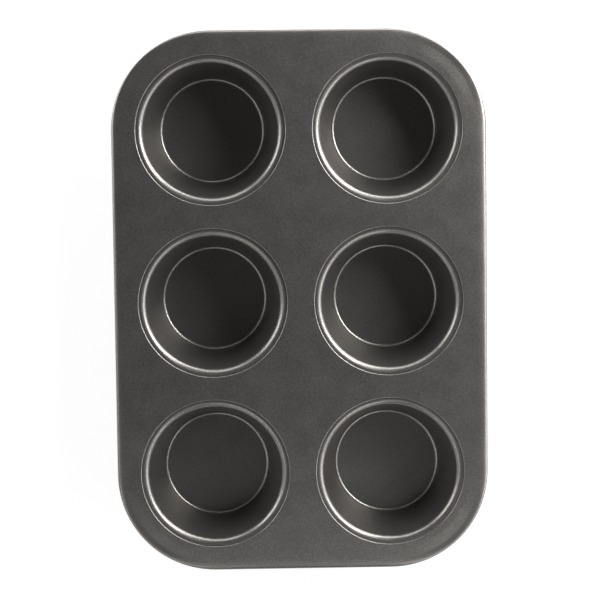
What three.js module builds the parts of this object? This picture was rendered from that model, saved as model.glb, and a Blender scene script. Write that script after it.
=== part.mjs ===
// A muffin pan in coated steel sheet: a top plate with a rolled and wired rim, and six drawn cups.
// Each cup's flange lies in a recessed seat round its hole, and the plate's edge is crimped over it.
// Millimetres. +Z is up, +Y points to the back row, and the origin is under the middle of the pan.
import * as THREE from "three";
import { mergeGeometries, mergeVertices } from "three/addons/utils/BufferGeometryUtils.js";

// Layout: the names of the rows, from back to front, and of the columns, from left to right
const rowNames = ["back", "middle", "front"];
const columnNames = ["left", "right"];
const webAcross = 10.3; // plate between the seats of two neighbouring columns
const webAlong = 8.3; // plate between the seats of two neighbouring rows
const edgeLand = 6.4; // plate between a seat and the inside of the rolled rim

// Drawn cup
const cupThickness = 0.6;
const cupDepth = 35; // from the plate's top face to the cup's floor
const floorRadius = 25; // flat part of the floor
const floorFillet = 1.8; // between floor and wall, on the inside
const wallFlare = 11.3; // from the edge of the flat floor out to the flat flange
const flangeWidth = 0.9;

// Seat in the top plate
const plateThickness = 0.7;
const seatClearance = 0.2; // between a cup and the plate, all round
const collarBend = 1.9; // inner bend where the seat turns down along the cup's wall
const collarLength = 2; // straight part of the collar, along the wall
const crimpThickness = 0.6; // lip of the plate that is pressed over the flange
const crimpOverlap = 0.35; // how far the lip reaches over the flange
const crimpNose = 0.45; // bevel on the lip's upper edge
const seatDraft = 0.5; // how far the outside of the seat leans out towards the plate

// Rolled rim and the wire inside it
const wireRadius = 1;
const wireClearance = 0.25;
const curlGap = 0.5; // slit between the curl's free edge and the plate's underside

// Facets
const roundSteps = 32; // round a cup
const lipSteps = 5; // over the lip
const bendSteps = 2; // round a fillet or a hidden bend
const cornerSteps = 8; // round a corner of the pan
const curlSteps = 10; // round the rolled rim
const wireSides = 8;

const quarter = Math.PI / 2;

// Levels below the plate's top face, and the radii that follow from the floor outwards
const lipRadius = collarBend + plateThickness + seatClearance + cupThickness;
const flangeTop = -(crimpThickness + seatClearance);
const flangeUnder = flangeTop - cupThickness;
const ledgeTop = flangeUnder - seatClearance;
const ledgeUnder = ledgeTop - plateThickness;
const lipLevel = flangeTop - lipRadius;
const floorTop = -cupDepth;
const floorUnder = floorTop - cupThickness;
const filletLevel = floorTop + floorFillet;
const flangeStart = floorRadius + wallFlare;
const flangeEdge = flangeStart + flangeWidth;
const pocketRadius = flangeEdge + seatClearance;
const crimpRadius = flangeEdge - crimpOverlap;
const seatRadius = pocketRadius + plateThickness + seatDraft;

// The wall is the straight line that runs into both the floor's fillet and the lip's rounding.
const wallRise = lipLevel - filletLevel;
const wallDraft =
  Math.atan2(wallFlare, wallRise) - Math.asin((lipRadius + floorFillet) / Math.hypot(wallFlare, wallRise));

const curlInside = wireRadius + wireClearance;
const curlRadius = curlInside + plateThickness;
const curlCentre = seatRadius + edgeLand + curlRadius;
const curlEnd = -Math.PI - Math.asin((curlInside - curlGap) / curlRadius);

const pitchAcross = 2 * seatRadius + webAcross;
const pitchAlong = 2 * seatRadius + webAlong;
const cornerX = ((columnNames.length - 1) / 2) * pitchAcross;
const cornerY = ((rowNames.length - 1) / 2) * pitchAlong;
const panHeight = -floorUnder;

// Points on an arc, the short list of a section's round stretches
function arc(x, y, radius, from, to, steps) {
  return new THREE.EllipseCurve(x, y, radius, radius, from, to, to < from).getPoints(steps);
}

function at(points, z) {
  return points.map((point) => new THREE.Vector3(point.x, point.y, z));
}

// A circle round a cup's axis, with its corners where a turned cup has them
function circle(centre, radius, z) {
  return at(arc(centre.x, centre.y, radius, -quarter, 3 * quarter, roundSteps).slice(0, -1), z);
}

// The pan's outline, at one distance from the axes of the corner cups
function outline(distance, z) {
  const corners = [
    [1, 1],
    [-1, 1],
    [-1, -1],
    [1, -1],
  ];
  const points = corners.flatMap(([sideX, sideY], turn) =>
    arc(sideX * cornerX, sideY * cornerY, distance, turn * quarter, (turn + 1) * quarter, cornerSteps),
  );
  return at(points, z);
}

// A surface through a row of closed loops that all have as many points
function loft(loops) {
  const count = loops[0].length;
  const index = [];
  for (let row = 0; row + 1 < loops.length; row += 1) {
    for (let step = 0; step < count; step += 1) {
      const next = (step + 1) % count;
      const [a, b] = [row * count + step, row * count + next];
      index.push(a, b, b + count, a, b + count, a + count);
    }
  }
  return new THREE.BufferGeometry().setFromPoints(loops.flat()).setIndex(index);
}

// A flat face inside a loop, with a hole for each of the other loops
function flatFace(edge, holes, facesUp) {
  const shape = new THREE.Shape(edge);
  shape.holes = holes.map((hole) => new THREE.Path(hole));
  const geometry = new THREE.ShapeGeometry(shape).translate(0, 0, edge[0].z);
  geometry.deleteAttribute("normal");
  geometry.deleteAttribute("uv");
  const index = Array.from(geometry.index.array);
  return geometry.setIndex(facesUp ? index : index.reverse());
}

// Half section of a cup, from the middle of its underside round to the middle of its floor
function cupSection() {
  return [
    new THREE.Vector2(0, floorUnder),
    ...arc(floorRadius, filletLevel, floorFillet + cupThickness, -quarter, -wallDraft, bendSteps),
    ...arc(flangeStart, lipLevel, lipRadius - cupThickness, Math.PI - wallDraft, quarter, bendSteps),
    new THREE.Vector2(flangeEdge, flangeUnder),
    new THREE.Vector2(flangeEdge, flangeTop),
    ...arc(flangeStart, lipLevel, lipRadius, quarter, Math.PI - wallDraft, lipSteps),
    ...arc(floorRadius, filletLevel, floorFillet, -wallDraft, -quarter, bendSteps),
    new THREE.Vector2(0, floorTop),
  ];
}

// Section of a seat, from the plate's top face over the crimp, along the ledge and collar, and back
function seatSection() {
  const bendOutside = collarBend + plateThickness;
  const alongWall = new THREE.Vector2(-Math.sin(wallDraft), -Math.cos(wallDraft)).multiplyScalar(collarLength);
  const over = arc(flangeStart, lipLevel, bendOutside, quarter, Math.PI - wallDraft, bendSteps);
  const under = arc(flangeStart, lipLevel, collarBend, Math.PI - wallDraft, quarter, bendSteps);
  return [
    new THREE.Vector2(crimpRadius + crimpNose, 0),
    new THREE.Vector2(crimpRadius, -crimpNose),
    new THREE.Vector2(crimpRadius, -crimpThickness),
    new THREE.Vector2(pocketRadius, -crimpThickness),
    new THREE.Vector2(pocketRadius, ledgeTop),
    ...over,
    over.at(-1).clone().add(alongWall),
    under[0].clone().add(alongWall),
    ...under,
    new THREE.Vector2(pocketRadius + plateThickness, ledgeUnder),
    new THREE.Vector2(seatRadius, -plateThickness),
  ];
}

// Section of the rolled rim, from the plate's underside round the wire and back to the top face
function rimSection() {
  return [
    ...arc(curlCentre, -curlRadius, curlInside, quarter, curlEnd, curlSteps),
    ...arc(curlCentre, -curlRadius, curlRadius, curlEnd, quarter, curlSteps),
  ];
}

function plateGeometry(cupCentres) {
  const rim = rimSection().map((point) => outline(point.x, point.y));
  const seats = cupCentres.map((centre) => seatSection().map((point) => circle(centre, point.x, point.y)));
  const topFace = flatFace(rim.at(-1), seats.map((loops) => loops[0]), true);
  const underside = flatFace(rim[0], seats.map((loops) => loops.at(-1)), false);
  return mergeVertices(mergeGeometries([topFace, underside, loft(rim), ...seats.map(loft)]));
}

function wireGeometry() {
  const section = arc(curlCentre, -curlRadius, wireRadius, 0, 4 * quarter, wireSides);
  return mergeVertices(loft(section.map((point) => outline(point.x, point.y))));
}

function cupGeometry() {
  return new THREE.LatheGeometry(cupSection(), roundSteps).rotateX(quarter);
}

function coatedSteel() {
  return new THREE.MeshStandardMaterial({ color: 0x454547, roughness: 0.45, metalness: 0.6 });
}

function bareSteel() {
  return new THREE.MeshStandardMaterial({ color: 0x9a9b9d, roughness: 0.35, metalness: 1 });
}

function named(name, geometry, material) {
  const mesh = new THREE.Mesh(geometry, material);
  mesh.name = name;
  return mesh;
}

// Everything below hangs from the plate's top face, which is lifted so that the cups stand on the table.
const pan = new THREE.Group();
const hanging = new THREE.Group();
hanging.position.z = panHeight;
pan.add(hanging);

const cups = rowNames.flatMap((row, rowIndex) =>
  columnNames.map((column, columnIndex) => {
    const cup = named(`cup_${row}_${column}`, cupGeometry(), coatedSteel());
    cup.position.set(columnIndex * pitchAcross - cornerX, cornerY - rowIndex * pitchAlong, 0);
    return cup;
  }),
);
const plate = named("top_plate", plateGeometry(cups.map((cup) => cup.position)), coatedSteel());
const wire = named("rim_wire", wireGeometry(), bareSteel());
hanging.add(plate, wire, ...cups);

export default pan;
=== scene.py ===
"""A dark non-stick muffin pan on a white table, seen almost straight from above."""
import math

import bmesh
import bpy
from mathutils import Matrix, Vector


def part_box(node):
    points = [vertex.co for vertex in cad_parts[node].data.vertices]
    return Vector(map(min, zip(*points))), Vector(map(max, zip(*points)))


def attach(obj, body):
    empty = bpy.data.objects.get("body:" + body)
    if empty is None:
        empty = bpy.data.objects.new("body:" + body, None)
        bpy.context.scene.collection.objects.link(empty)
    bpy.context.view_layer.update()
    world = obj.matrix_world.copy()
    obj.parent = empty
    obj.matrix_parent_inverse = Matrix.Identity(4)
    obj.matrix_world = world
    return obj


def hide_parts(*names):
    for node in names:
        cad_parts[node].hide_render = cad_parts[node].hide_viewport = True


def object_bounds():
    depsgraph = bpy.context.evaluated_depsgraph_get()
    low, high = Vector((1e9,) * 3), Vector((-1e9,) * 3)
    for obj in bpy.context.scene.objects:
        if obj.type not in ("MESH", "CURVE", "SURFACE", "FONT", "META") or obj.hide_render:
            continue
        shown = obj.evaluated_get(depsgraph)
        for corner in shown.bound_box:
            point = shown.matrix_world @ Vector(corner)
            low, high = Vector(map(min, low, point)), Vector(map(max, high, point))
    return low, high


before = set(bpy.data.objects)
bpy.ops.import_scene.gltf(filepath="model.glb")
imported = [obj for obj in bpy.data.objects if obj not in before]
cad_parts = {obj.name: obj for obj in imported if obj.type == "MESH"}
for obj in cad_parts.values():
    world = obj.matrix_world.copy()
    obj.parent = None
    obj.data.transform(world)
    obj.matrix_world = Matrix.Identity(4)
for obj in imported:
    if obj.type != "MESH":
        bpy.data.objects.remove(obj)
cad_low, cad_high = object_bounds()

MM = 0.001
QUARTER = math.pi / 2

# Drawn cup
CUP_SHEET = 0.6 * MM
FLOOR_RADIUS = 25.0 * MM
FLOOR_FILLET = 1.8 * MM
FLANGE_WIDTH = 0.9 * MM

# Seat in the plate: the crimped lip, the pocket for the flange and the collar along the cup's wall
PLATE_SHEET = 0.7 * MM
SEAT_CLEARANCE = 0.2 * MM
CRIMP_THICKNESS = 0.6 * MM
CRIMP_OVERLAP = 0.35 * MM
CRIMP_ROUNDING = 0.55 * MM
COLLAR_BEND = 1.9 * MM
COLLAR_LENGTH = 2.0 * MM
SEAT_DRAFT = 0.5 * MM
BURR = 0.05 * MM

# Margin that curves down into the rolled rim, tighter and a little dished at the pan's corners
RIM_DROP = 0.2 * MM
SIDE_POWER = 4
CORNER_POWER = 8
CORNER_DISH = 0.26 * MM
WIRE_CLEARANCE = 0.25 * MM
CURL_GAP = 0.5 * MM

# Fineness of the meshes
ROUND_STEPS = 144
CORNER_STEPS = 36
MARGIN_STEPS = 30
WIRE_SIDES = 20
FLAT_MARGIN = 1.2 * MM
FLOOR_MIDDLE = 4 * MM
ARC_STEP = math.radians(8)
SHARP_ANGLE = math.radians(50)

# Coating: a warm dark grey, with a fine grain in its shade and relief, and a soft mottle in its gloss
COATING_METAL = 0.9
COATING_EDGE_TINT = (0.4, 0.4, 0.4, 1)
COATING_ROUGHNESS = (0.28, 0.38)
GRAIN_SHADES = ((0.3, (0.232, 0.222, 0.211, 1)), (0.72, (0.342, 0.327, 0.311, 1)))
GRAIN_SCALE = 1500
GRAIN_DETAIL = 1
GRAIN_STRENGTH = 0.5
GRAIN_DEPTH = 0.03 * MM
MOTTLE_SCALE = 90
MOTTLE_DETAIL = 3

# Bare steel of the wire
STEEL_COLOUR = (0.5, 0.5, 0.51, 1)
STEEL_ROUGHNESS = (0.25, 0.45)
STEEL_SCALE = 900
STEEL_DETAIL = 2

# White table, and a white room that darkens towards the ceiling
TABLE_RADIUS = 0.45
TABLE_GAP = 0.05 * MM
TABLE_COLOUR = (0.3, 0.3, 0.3, 1)
TABLE_ROUGHNESS = 0.8
TABLE_GLOW = 0.85
ROOM_SHADES = ((0.12, (1, 1, 1, 1)), (0.3, (0.03, 0.03, 0.03, 1)))

# Camera: place over the middle of the plate's top face, and turns about X, Y and Z
CAMERA_PLACE = Vector((-17.6, 77.1, 950)) * MM
CAMERA_TURNS = (-0.0799, -0.0179, -0.0138)
CAMERA_LENS = 115.2
SENSOR_WIDTH = 36

# Softboxes: direction from +X, height above the horizon, distance, width, height and power
LAMPS = {
    "key_softbox": (29, 39, 0.75, 0.45, 0.27, 4.2),
    "near_softbox": (45, 26, 0.36, 0.25, 0.15, 0.4),
    "low_softbox": (64, 9, 0.6, 0.45, 0.18, 1.6),
    "back_softbox": (105, 24, 0.8, 0.5, 0.33, 1.3),
    "left_softbox": (158, 22, 1.0, 0.6, 0.3, 3.0),
    "high_softbox": (190, 38, 1.0, 0.6, 0.3, 0.6),
    "corner_softbox": (236, 38, 0.45, 0.3, 0.17, 0.19),
    "front_softbox": (277, 52, 0.43, 0.27, 0.17, 0.05),
    "side_softbox": (305, 36, 0.45, 0.25, 0.15, 0.28),
    "right_softbox": (348, 28, 0.45, 0.3, 0.2, 0.6),
}

# Places that the CAD parts in model.glb give
CUP_NAMES = sorted(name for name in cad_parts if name.startswith("cup_"))
CUP_BOXES = {name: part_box(name) for name in CUP_NAMES}
CUP_CENTRES = {name: (low + high) / 2 for name, (low, high) in CUP_BOXES.items()}
SAMPLE_LOW, SAMPLE_HIGH = CUP_BOXES[CUP_NAMES[0]]
FLANGE_EDGE = (SAMPLE_HIGH.x - SAMPLE_LOW.x) / 2
FLANGE_TOP = SAMPLE_HIGH.z
FLOOR_UNDER = SAMPLE_LOW.z
PLATE_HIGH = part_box("top_plate")[1]
PLATE_TOP = PLATE_HIGH.z
WIRE_LOW, WIRE_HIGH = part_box("rim_wire")
WIRE_RADIUS = (WIRE_HIGH.z - WIRE_LOW.z) / 2
CORNER_X = max(centre.x for centre in CUP_CENTRES.values())
CORNER_Y = max(centre.y for centre in CUP_CENTRES.values())

# The cup's wall is the straight line that runs into both the floor's fillet and the lip's rounding.
LIP_ROUNDING = COLLAR_BEND + PLATE_SHEET + SEAT_CLEARANCE + CUP_SHEET
FLANGE_START = FLANGE_EDGE - FLANGE_WIDTH
FLOOR_TOP = FLOOR_UNDER + CUP_SHEET
FILLET_CENTRE = Vector((FLOOR_RADIUS, FLOOR_TOP + FLOOR_FILLET))
LIP_CENTRE = Vector((FLANGE_START, FLANGE_TOP - LIP_ROUNDING))
WALL_SPAN = LIP_CENTRE - FILLET_CENTRE
WALL_LEAN = math.asin((LIP_ROUNDING + FLOOR_FILLET) / WALL_SPAN.length)
WALL_DRAFT = math.atan2(WALL_SPAN.x, WALL_SPAN.y) - WALL_LEAN

POCKET_RADIUS = FLANGE_EDGE + SEAT_CLEARANCE
SEAT_RADIUS = POCKET_RADIUS + PLATE_SHEET + SEAT_DRAFT

CURL_INSIDE = WIRE_RADIUS + WIRE_CLEARANCE
CURL_RADIUS = CURL_INSIDE + PLATE_SHEET
RIM_EDGE = PLATE_HIGH.x - CORNER_X
RIM_HEIGHT = CURL_RADIUS + RIM_DROP
CURL_CENTRE = Vector((RIM_EDGE - CURL_RADIUS, PLATE_TOP - RIM_HEIGHT))
MARGIN_START = SEAT_RADIUS + 2 * FLAT_MARGIN
MARGIN_WIDTH = RIM_EDGE - MARGIN_START


# Sections, as points (distance from the axis, height)


def arc(centre, radius, start, end):
    """Points on an arc about a centre, from one angle to another."""
    steps = max(2, round(abs(end - start) / ARC_STEP))
    angles = (start + (end - start) * i / steps for i in range(steps + 1))
    return [centre + radius * Vector((math.cos(a), math.sin(a))) for a in angles]


def rounded(before, corner, after, rounding):
    """The arc that rounds a corner between two straight stretches."""
    back = (before - corner).normalized()
    ahead = (after - corner).normalized()
    half = back.angle(ahead) / 2
    centre = corner + (back + ahead).normalized() * rounding / math.sin(half)
    first = corner + back * rounding / math.tan(half) - centre
    turn = math.pi - 2 * half
    turn = turn if back.cross(ahead) < 0 else -turn
    start = math.atan2(first.y, first.x)
    return arc(centre, rounding, start, start + turn)


def cup_section():
    """Half a cup, from the middle of its floor over the flange to the middle of its underside."""
    edge_top = Vector((FLANGE_EDGE, FLANGE_TOP))
    edge_under = Vector((FLANGE_EDGE, FLANGE_TOP - CUP_SHEET))
    lip_top = LIP_CENTRE + Vector((0, LIP_ROUNDING))
    lip_under = lip_top - Vector((0, CUP_SHEET))
    return [
        Vector((FLOOR_MIDDLE, FLOOR_TOP)),
        *arc(FILLET_CENTRE, FLOOR_FILLET, -QUARTER, -WALL_DRAFT),
        *arc(LIP_CENTRE, LIP_ROUNDING, math.pi - WALL_DRAFT, QUARTER),
        *rounded(lip_top, edge_top, edge_under, BURR),
        *rounded(edge_top, edge_under, lip_under, BURR),
        *arc(LIP_CENTRE, LIP_ROUNDING - CUP_SHEET, QUARTER, math.pi - WALL_DRAFT),
        *arc(FILLET_CENTRE, FLOOR_FILLET + CUP_SHEET, -WALL_DRAFT, -QUARTER),
        Vector((FLOOR_MIDDLE, FLOOR_UNDER)),
    ]


def seat_section():
    """The plate round one cup, from its top face over the crimp and collar to its underside."""
    crimp = FLANGE_EDGE - CRIMP_OVERLAP
    ledge = FLANGE_TOP - CUP_SHEET - SEAT_CLEARANCE
    down = Vector((-math.sin(WALL_DRAFT), -math.cos(WALL_DRAFT))) * COLLAR_LENGTH
    over = arc(LIP_CENTRE, COLLAR_BEND + PLATE_SHEET, QUARTER, math.pi - WALL_DRAFT)
    under = arc(LIP_CENTRE, COLLAR_BEND, math.pi - WALL_DRAFT, QUARTER)
    top_out = Vector((SEAT_RADIUS + FLAT_MARGIN, PLATE_TOP))
    nose = Vector((crimp, PLATE_TOP))
    crimp_under = Vector((crimp, PLATE_TOP - CRIMP_THICKNESS))
    pocket_top = Vector((POCKET_RADIUS, PLATE_TOP - CRIMP_THICKNESS))
    return [
        top_out,
        *rounded(top_out, nose, crimp_under, CRIMP_ROUNDING),
        crimp_under,
        pocket_top,
        Vector((POCKET_RADIUS, ledge)),
        *over,
        *rounded(over[-1], over[-1] + down, under[0] + down, BURR),
        *rounded(over[-1] + down, under[0] + down, under[0], BURR),
        *under,
        Vector((POCKET_RADIUS + PLATE_SHEET, ledge - PLATE_SHEET)),
        Vector((SEAT_RADIUS, PLATE_TOP - PLATE_SHEET)),
        Vector((SEAT_RADIUS + FLAT_MARGIN, PLATE_TOP - PLATE_SHEET)),
    ]


def margin_top(corner):
    """The margin's top, from the roll's outermost point in to the flat plate: a quarter of a squared oval."""
    power = SIDE_POWER + (CORNER_POWER - SIDE_POWER) * corner
    points = []
    for i in range(MARGIN_STEPS + 1):
        angle = QUARTER * (1 - i / MARGIN_STEPS)
        out = math.sin(angle) ** (2 / power)
        up = math.cos(angle) ** (2 / power)
        dish = CORNER_DISH * corner * math.sin(math.pi * out) ** 2
        points.append(Vector((MARGIN_START + MARGIN_WIDTH * out, CURL_CENTRE.y + RIM_HEIGHT * up - dish)))
    return points


def rim_section(corner):
    """Margin and rolled rim, from the plate's underside round the wire and back to the top face."""
    end = -math.pi - math.asin((CURL_INSIDE - CURL_GAP) / CURL_RADIUS)
    inside = arc(CURL_CENTRE, CURL_INSIDE, QUARTER, end)
    outside = arc(CURL_CENTRE, CURL_RADIUS, end, 0)
    return [Vector((MARGIN_START, PLATE_TOP - PLATE_SHEET)), *inside, *outside[:-1], *margin_top(corner)]


def wire_section(_corner):
    """The wire, which is as round at the corners as along the sides."""
    angles = (2 * math.pi * i / WIRE_SIDES for i in range(WIRE_SIDES))
    return [CURL_CENTRE + WIRE_RADIUS * Vector((math.cos(a), math.sin(a))) for a in angles]


# Meshes


def circle(centre, distance, height):
    """A level circle round an upright axis."""
    points = []
    for i in range(ROUND_STEPS):
        angle = 2 * math.pi * i / ROUND_STEPS
        x = centre.x + distance * math.cos(angle)
        y = centre.y + distance * math.sin(angle)
        points.append(Vector((x, y, height)))
    return points


def outlines(section):
    """Loops round the pan, one for each point of a section, which may change from side (0) to corner (1)."""
    columns = []
    for turn, (side_x, side_y) in enumerate(((1, 1), (-1, 1), (-1, -1), (1, -1))):
        for i in range(CORNER_STEPS + 1):
            share = i / CORNER_STEPS
            angle = QUARTER * (turn + share)
            middle = Vector((side_x * CORNER_X, side_y * CORNER_Y, 0))
            out = Vector((math.cos(angle), math.sin(angle), 0))
            points = section(math.sin(math.pi * share) ** 2)
            columns.append([middle + p.x * out + Vector((0, 0, p.y)) for p in points])
    return list(zip(*columns))


def add_loft(bm, loops, closed=False):
    """Quads between neighbouring loops, and from the last to the first where the surface closes on itself."""
    rows = [[bm.verts.new(point) for point in loop] for loop in loops]
    pairs = list(zip(rows, rows[1:] + rows[:1]))
    for row, after in pairs if closed else pairs[:-1]:
        for i in range(len(row)):
            j = (i + 1) % len(row)
            bm.faces.new((row[i], row[j], after[j], after[i]))
    return rows


def fill_between(bm, loops):
    """A flat face inside the first loop, with a hole for each of the others."""
    edges = [bm.edges.get((a, b)) for loop in loops for a, b in zip(loop, loop[1:] + loop[:1])]
    bmesh.ops.triangle_fill(bm, edges=edges, use_beauty=True)


def make_piece(name, bm, material, node):
    """Turns a bmesh into a smooth-shaded piece that rides on the pan and stands for one CAD node."""
    bmesh.ops.recalc_face_normals(bm, faces=bm.faces)
    mesh = bpy.data.meshes.new(name)
    bm.to_mesh(mesh)
    bm.free()
    mesh.shade_smooth()
    mesh.set_sharp_from_angle(angle=SHARP_ANGLE)
    mesh.materials.append(material)
    piece = bpy.data.objects.new(name, mesh)
    bpy.context.scene.collection.objects.link(piece)
    normals = piece.modifiers.new("flat faces keep their shading", "WEIGHTED_NORMAL")
    normals.keep_sharp = True
    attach(piece, "root")
    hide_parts(node)


def make_plate(material):
    """The top plate: rolled rim, six seats, and the flat faces between them."""
    bm = bmesh.new()
    rim = add_loft(bm, outlines(rim_section))
    seats = [
        add_loft(bm, [circle(centre, p.x, p.y) for p in seat_section()])
        for centre in CUP_CENTRES.values()
    ]
    fill_between(bm, [rim[-1], *(seat[0] for seat in seats)])
    fill_between(bm, [rim[0], *(seat[-1] for seat in seats)])
    make_piece("plate", bm, material, "top_plate")


def make_wire(material):
    """The closed wire loop inside the roll."""
    bm = bmesh.new()
    add_loft(bm, outlines(wire_section), closed=True)
    make_piece("stiffening_wire", bm, material, "rim_wire")


def make_cup(node, material):
    """One drawn cup."""
    bm = bmesh.new()
    rows = add_loft(bm, [circle(CUP_CENTRES[node], p.x, p.y) for p in cup_section()])
    for row in (rows[0], rows[-1]):
        bm.faces.new(row)
    make_piece("drawn_" + node, bm, material, node)


# Materials


def new_material(name):
    """A material, its nodes and its main shader."""
    material = bpy.data.materials.new(name)
    material.use_nodes = True
    tree = material.node_tree
    return material, tree, tree.nodes["Principled BSDF"]


def add_noise(tree, scale, detail):
    """Noise that sits on the object."""
    place = tree.nodes.new("ShaderNodeTexCoord")
    noise = tree.nodes.new("ShaderNodeTexNoise")
    noise.inputs["Scale"].default_value = scale
    noise.inputs["Detail"].default_value = detail
    tree.links.new(place.outputs["Object"], noise.inputs["Vector"])
    return noise.outputs["Fac"]


def add_ramp(tree, value, shades):
    """Turns a value into a colour between two shades, each with its place on the ramp."""
    ramp = tree.nodes.new("ShaderNodeValToRGB")
    for element, (position, colour) in zip(ramp.color_ramp.elements, shades):
        element.position = position
        element.color = colour
    tree.links.new(value, ramp.inputs["Fac"])
    return ramp.outputs["Color"]


def add_range(tree, value, lowest, highest):
    """Spreads a value from 0 to 1 between two others."""
    spread = tree.nodes.new("ShaderNodeMapRange")
    spread.inputs["To Min"].default_value = lowest
    spread.inputs["To Max"].default_value = highest
    tree.links.new(value, spread.inputs["Value"])
    return spread.outputs["Result"]


def coating_material():
    """Dark non-stick coating: satin, warm grey, with a fine metallic grain and a soft mottle."""
    material, tree, shader = new_material("dark_coating")
    shader.inputs["Metallic"].default_value = COATING_METAL
    shader.inputs["Specular Tint"].default_value = COATING_EDGE_TINT
    grain = add_noise(tree, GRAIN_SCALE, GRAIN_DETAIL)
    mottle = add_noise(tree, MOTTLE_SCALE, MOTTLE_DETAIL)
    tree.links.new(add_ramp(tree, grain, GRAIN_SHADES), shader.inputs["Base Color"])
    tree.links.new(add_range(tree, mottle, *COATING_ROUGHNESS), shader.inputs["Roughness"])
    bump = tree.nodes.new("ShaderNodeBump")
    bump.inputs["Strength"].default_value = GRAIN_STRENGTH
    bump.inputs["Distance"].default_value = GRAIN_DEPTH
    tree.links.new(grain, bump.inputs["Height"])
    tree.links.new(bump.outputs["Normal"], shader.inputs["Normal"])
    return material


def wire_material():
    """Plain drawn steel wire, a little uneven in gloss."""
    material, tree, shader = new_material("drawn_wire")
    shader.inputs["Metallic"].default_value = 1
    shader.inputs["Base Color"].default_value = STEEL_COLOUR
    noise = add_noise(tree, STEEL_SCALE, STEEL_DETAIL)
    tree.links.new(add_range(tree, noise, *STEEL_ROUGHNESS), shader.inputs["Roughness"])
    return material


def table_material():
    """White table: plain diffuse, with some light of its own for the rays that show it."""
    material, tree, shader = new_material("white_table")
    shader.inputs["Base Color"].default_value = TABLE_COLOUR
    shader.inputs["Roughness"].default_value = TABLE_ROUGHNESS
    shader.inputs["Specular IOR Level"].default_value = 0
    shader.inputs["Emission Color"].default_value = (1, 1, 1, 1)
    path = tree.nodes.new("ShaderNodeLightPath")
    seen = path.outputs["Is Camera Ray"]
    for ray in ("Is Glossy Ray", "Is Transmission Ray"):
        either = tree.nodes.new("ShaderNodeMath")
        either.operation = "MAXIMUM"
        tree.links.new(seen, either.inputs[0])
        tree.links.new(path.outputs[ray], either.inputs[1])
        seen = either.outputs[0]
    glow = add_range(tree, seen, 0, TABLE_GLOW)
    tree.links.new(glow, shader.inputs["Emission Strength"])
    return material


# Stage


def make_table():
    """A round white table just under the cups."""
    mesh = bpy.data.meshes.new("table")
    edge = circle(Vector(), TABLE_RADIUS, cad_low.z - TABLE_GAP)
    mesh.from_pydata(edge, [], [range(len(edge))])
    mesh.materials.append(table_material())
    table = bpy.data.objects.new("table", mesh)
    bpy.context.scene.collection.objects.link(table)


def make_lamp(name, direction, lift, distance, width, height, power):
    """A softbox that faces the middle of the pan's underside."""
    lamp = bpy.data.lights.new(name, "AREA")
    lamp.shape = "RECTANGLE"
    lamp.energy = power
    lamp.size = width
    lamp.size_y = height
    turn = math.radians(direction)
    rise = math.radians(lift)
    away = Vector((math.cos(turn) * math.cos(rise), math.sin(turn) * math.cos(rise), math.sin(rise)))
    holder = bpy.data.objects.new(name, lamp)
    holder.location = away * distance
    holder.rotation_euler = away.to_track_quat("Z", "Y").to_euler()
    bpy.context.scene.collection.objects.link(holder)


def make_world():
    """White walls that darken towards the ceiling."""
    world = bpy.data.worlds.new("white_room")
    bpy.context.scene.world = world
    world.use_nodes = True
    tree = world.node_tree
    place = tree.nodes.new("ShaderNodeTexCoord")
    split = tree.nodes.new("ShaderNodeSeparateXYZ")
    tree.links.new(place.outputs["Generated"], split.inputs["Vector"])
    background = tree.nodes["Background"]
    background.inputs["Strength"].default_value = 1
    tree.links.new(add_ramp(tree, split.outputs["Z"], ROOM_SHADES), background.inputs["Color"])


def make_camera():
    """A camera high over the pan, which looks almost straight down."""
    data = bpy.data.cameras.new("camera")
    data.lens = CAMERA_LENS
    data.sensor_width = SENSOR_WIDTH
    camera = bpy.data.objects.new("camera", data)
    bpy.context.scene.collection.objects.link(camera)
    matrix = Matrix.Translation(CAMERA_PLACE + Vector((0, 0, PLATE_TOP)))
    for angle, axis in zip(CAMERA_TURNS, "XYZ"):
        matrix = matrix @ Matrix.Rotation(angle, 4, axis)
    camera.matrix_world = matrix
    bpy.context.scene.camera = camera


bpy.context.scene.view_settings.view_transform = "Standard"
make_camera()
make_world()
make_table()
for lamp_name, setting in LAMPS.items():
    make_lamp(lamp_name, *setting)

coating = coating_material()
make_plate(coating)
make_wire(wire_material())
for cup_node in CUP_NAMES:
    make_cup(cup_node, coating)
